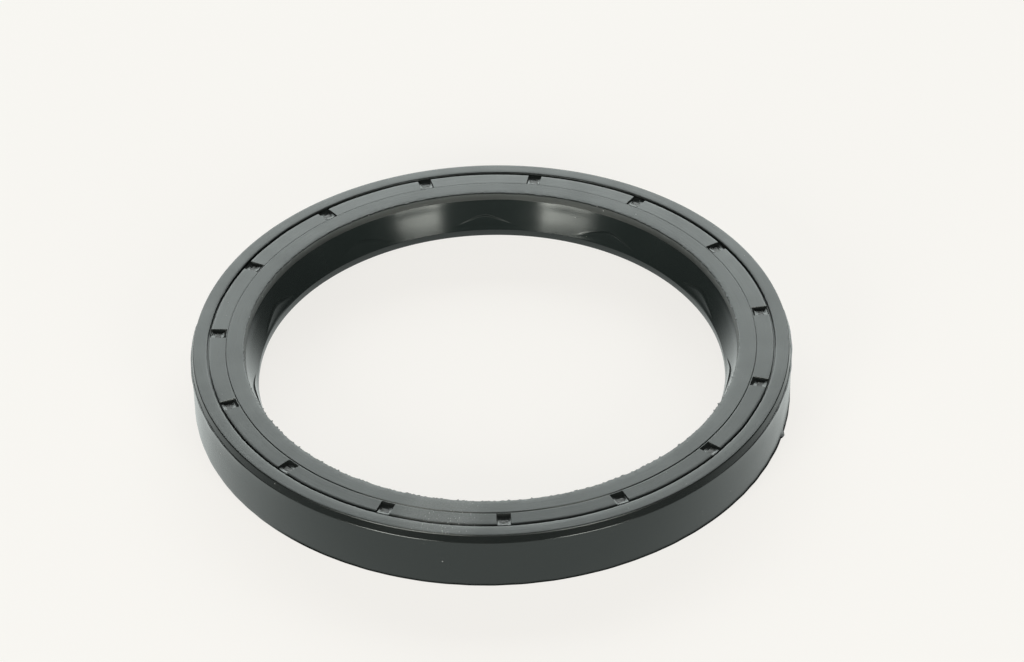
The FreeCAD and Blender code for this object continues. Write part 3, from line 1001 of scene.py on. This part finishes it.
def rubber_finish(
    name, roughness, colour=RUBBER, ior=1.5, grain=5.0, grain_depth=0.003, gloss_spread=0.10,
    lines_depth=0.0, rubs=0.0, dust=0.3, dusty=None, painted_shade=None,
):
    """Moulded rubber: skin grain, patches of gloss, turning lines of the mould, rub marks and dust.

    dusty is a place with more dust; the last argument is (low, high, share of the colour that is left at the
    low height): painted shade, darker towards the low height.
    """
    finish = Finish(name, colour, roughness)
    finish.shader.inputs["Specular Tint"].default_value = (*RUBBER_TINT, 1.0)
    finish.shader.inputs["IOR"].default_value = ior
    grained = finish.effect("grain", Grain=grain)
    turned = finish.effect("turning")
    specks = finish.effect("specks", Share=dust)
    if dusty is not None:
        off = finish.nodes.new("ShaderNodeVectorMath")
        off.operation = "DISTANCE"
        off.inputs[1].default_value = dusty
        finish.links.new(finish.place, off.inputs[0])
        near = ramp(finish.nodes, finish.links, off.outputs["Value"], *DUSTY_REACH)
        more = finish.effect("specks", **DUSTY_SPECKS)
        more_here = finish.math("MULTIPLY", more["Mask"], near)
        haze = finish.math("MULTIPLY", finish.math("MULTIPLY", near, grained["Height"]), DUSTY_HAZE)
        specks = {"Mask": finish.math("MAXIMUM", finish.math("MAXIMUM", specks["Mask"], more_here), haze)}
    patches = finish.math("MULTIPLY", finish.math("SUBTRACT", grained["Patches"], 0.5), 2 * gloss_spread)
    rubbed = finish.math("MULTIPLY", turned["Marks"], rubs)
    rough = finish.math("ADD", patches, roughness)
    rough = finish.math("ADD", rough, finish.math("MULTIPLY", rubbed, RUB_ROUGHNESS))
    rough = finish.math("ADD", rough, finish.math("MULTIPLY", specks["Mask"], DUST_ROUGHNESS), clamp=True)
    finish.connect("Roughness", rough)
    rub_colour = tuple(RUB_LIGHTER * part for part in colour)
    shade = finish.mix(rubbed, colour, rub_colour)
    # Painted shade: the colour darkens towards the low height
    if painted_shade is not None:
        low, high, low_share = painted_shade
        split = finish.nodes.new("ShaderNodeSeparateXYZ")
        finish.links.new(finish.place, split.inputs[0])
        dark = tuple(low_share * part for part in colour)
        shade = finish.mix(ramp(finish.nodes, finish.links, split.outputs[2], low, high), dark, shade)
    finish.connect("Base Color", finish.mix(specks["Mask"], shade, DUST))
    heights = [(grained["Height"], grain_depth)]
    if lines_depth:
        heights.append((turned["Height"], lines_depth))
    heights.append((specks["Mask"], DUST_DEPTH))
    finish.bump(heights)
    return finish.material


PHOSPHATE = ((0.15, 0.15, 0.145), (0.26, 0.26, 0.25))
BOND_COAT = ((0.02, 0.022, 0.02), (0.07, 0.073, 0.07))
BOND_WORN = (0.50, 0.62)
SPRING_STEEL = ((0.42, 0.41, 0.39), (0.62, 0.62, 0.60))


def steel_finish():
    """Phosphated sheet: dull grey with faint drawing marks, and the dark bonding coat on its upper face."""
    finish = Finish("phosphated_case", (0.20, 0.20, 0.19), 0.45, 1.0)
    grained = finish.effect("grain", Grain=2.2, Patch=1.3)
    turned = finish.effect("turning", Lines=4.0)
    split = finish.nodes.new("ShaderNodeSeparateXYZ")
    finish.links.new(finish.place, split.inputs[0])
    coat = ramp(finish.nodes, finish.links, split.outputs[2], CASE_TOP_Z - 0.3, CASE_TOP_Z - 0.1)
    phosphate = finish.mix(grained["Patches"], *PHOSPHATE)
    worn = ramp(finish.nodes, finish.links, grained["Patches"], *BOND_WORN)
    bond = finish.mix(worn, *BOND_COAT)
    finish.connect("Base Color", finish.mix(coat, phosphate, bond))
    covered = finish.math("MULTIPLY", coat, finish.math("SUBTRACT", 1.0, worn))
    finish.connect("Metallic", finish.math("SUBTRACT", 1.0, covered))
    rough = finish.math("ADD", finish.math("MULTIPLY", grained["Patches"], 0.3), 0.2)
    finish.connect("Roughness", rough)
    finish.bump([(grained["Height"], 0.10), (turned["Height"], 0.003)])
    return finish.material


def spring_finish():
    """Drawn spring wire, bright with a thin film of oil, in uneven patches of tone and roughness."""
    finish = Finish("spring_wire", (0.55, 0.55, 0.53), 0.3, 1.0)
    grained = finish.effect("grain", Grain=8.0, Patch=0.8)
    finish.connect("Base Color", finish.mix(grained["Patches"], *SPRING_STEEL))
    finish.connect("Roughness", finish.math("ADD", finish.math("MULTIPLY", grained["Patches"], 0.25), 0.2))
    finish.bump([(grained["Height"], 0.002)])
    return finish.material


def rubber_finishes():
    """The rubber's finishes, in the order of the ring's slots."""
    made = {
        "outer_wall": rubber_finish(
            "outer_wall", 0.20, ior=1.58, grain=3.0, grain_depth=0.002, gloss_spread=0.08, dust=0.15,
        ),
        "air_face": rubber_finish(
            "air_face", 0.34, grain=4.0, grain_depth=0.006, lines_depth=0.004, rubs=0.4, dust=0.25,
            dusty=DUSTY_PLACE,
        ),
        "trimmed_edge": rubber_finish(
            "trimmed_edge", 0.42, colour=TRIMMED_RUBBER, grain=6.0, grain_depth=0.015, painted_shade=TRIMMED_PAINTED_SHADE,
        ),
        # The bore's finish takes the lighter colour, which is painted light in the bore
        "bore": rubber_finish(
            "bore", 0.16, colour=BORE_RUBBER_PAINTED_LIGHT, grain=3.0, grain_depth=0.002, gloss_spread=0.05, dust=0.03,
        ),
        "lip_band": rubber_finish("lip_band", 0.30, grain=6.0, grain_depth=0.004, dust=0.1),
        "oil_side": rubber_finish("oil_side", 0.42, lines_depth=0.003, dust=0.1),
        "pocket_wall": rubber_finish("pocket_wall", 0.25, grain=4.0, grain_depth=0.02, dust=0.1),
    }
    return [made[name] for name in FINISHES]


place_camera()
plain_room()
place_lamps()
pale_floor()

moulding = make_rubber_ring(rubber_finishes())
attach(moulding, "root")
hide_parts("rubber_ring")

spring = make_garter_spring(spring_finish())
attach(spring, "root")
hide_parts("garter_spring")

case_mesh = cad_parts["steel_case"].data
case_finish = steel_finish()
for slot in range(len(case_mesh.materials)):
    case_mesh.materials[slot] = case_finish

bpy.context.scene.view_settings.view_transform = "Standard"
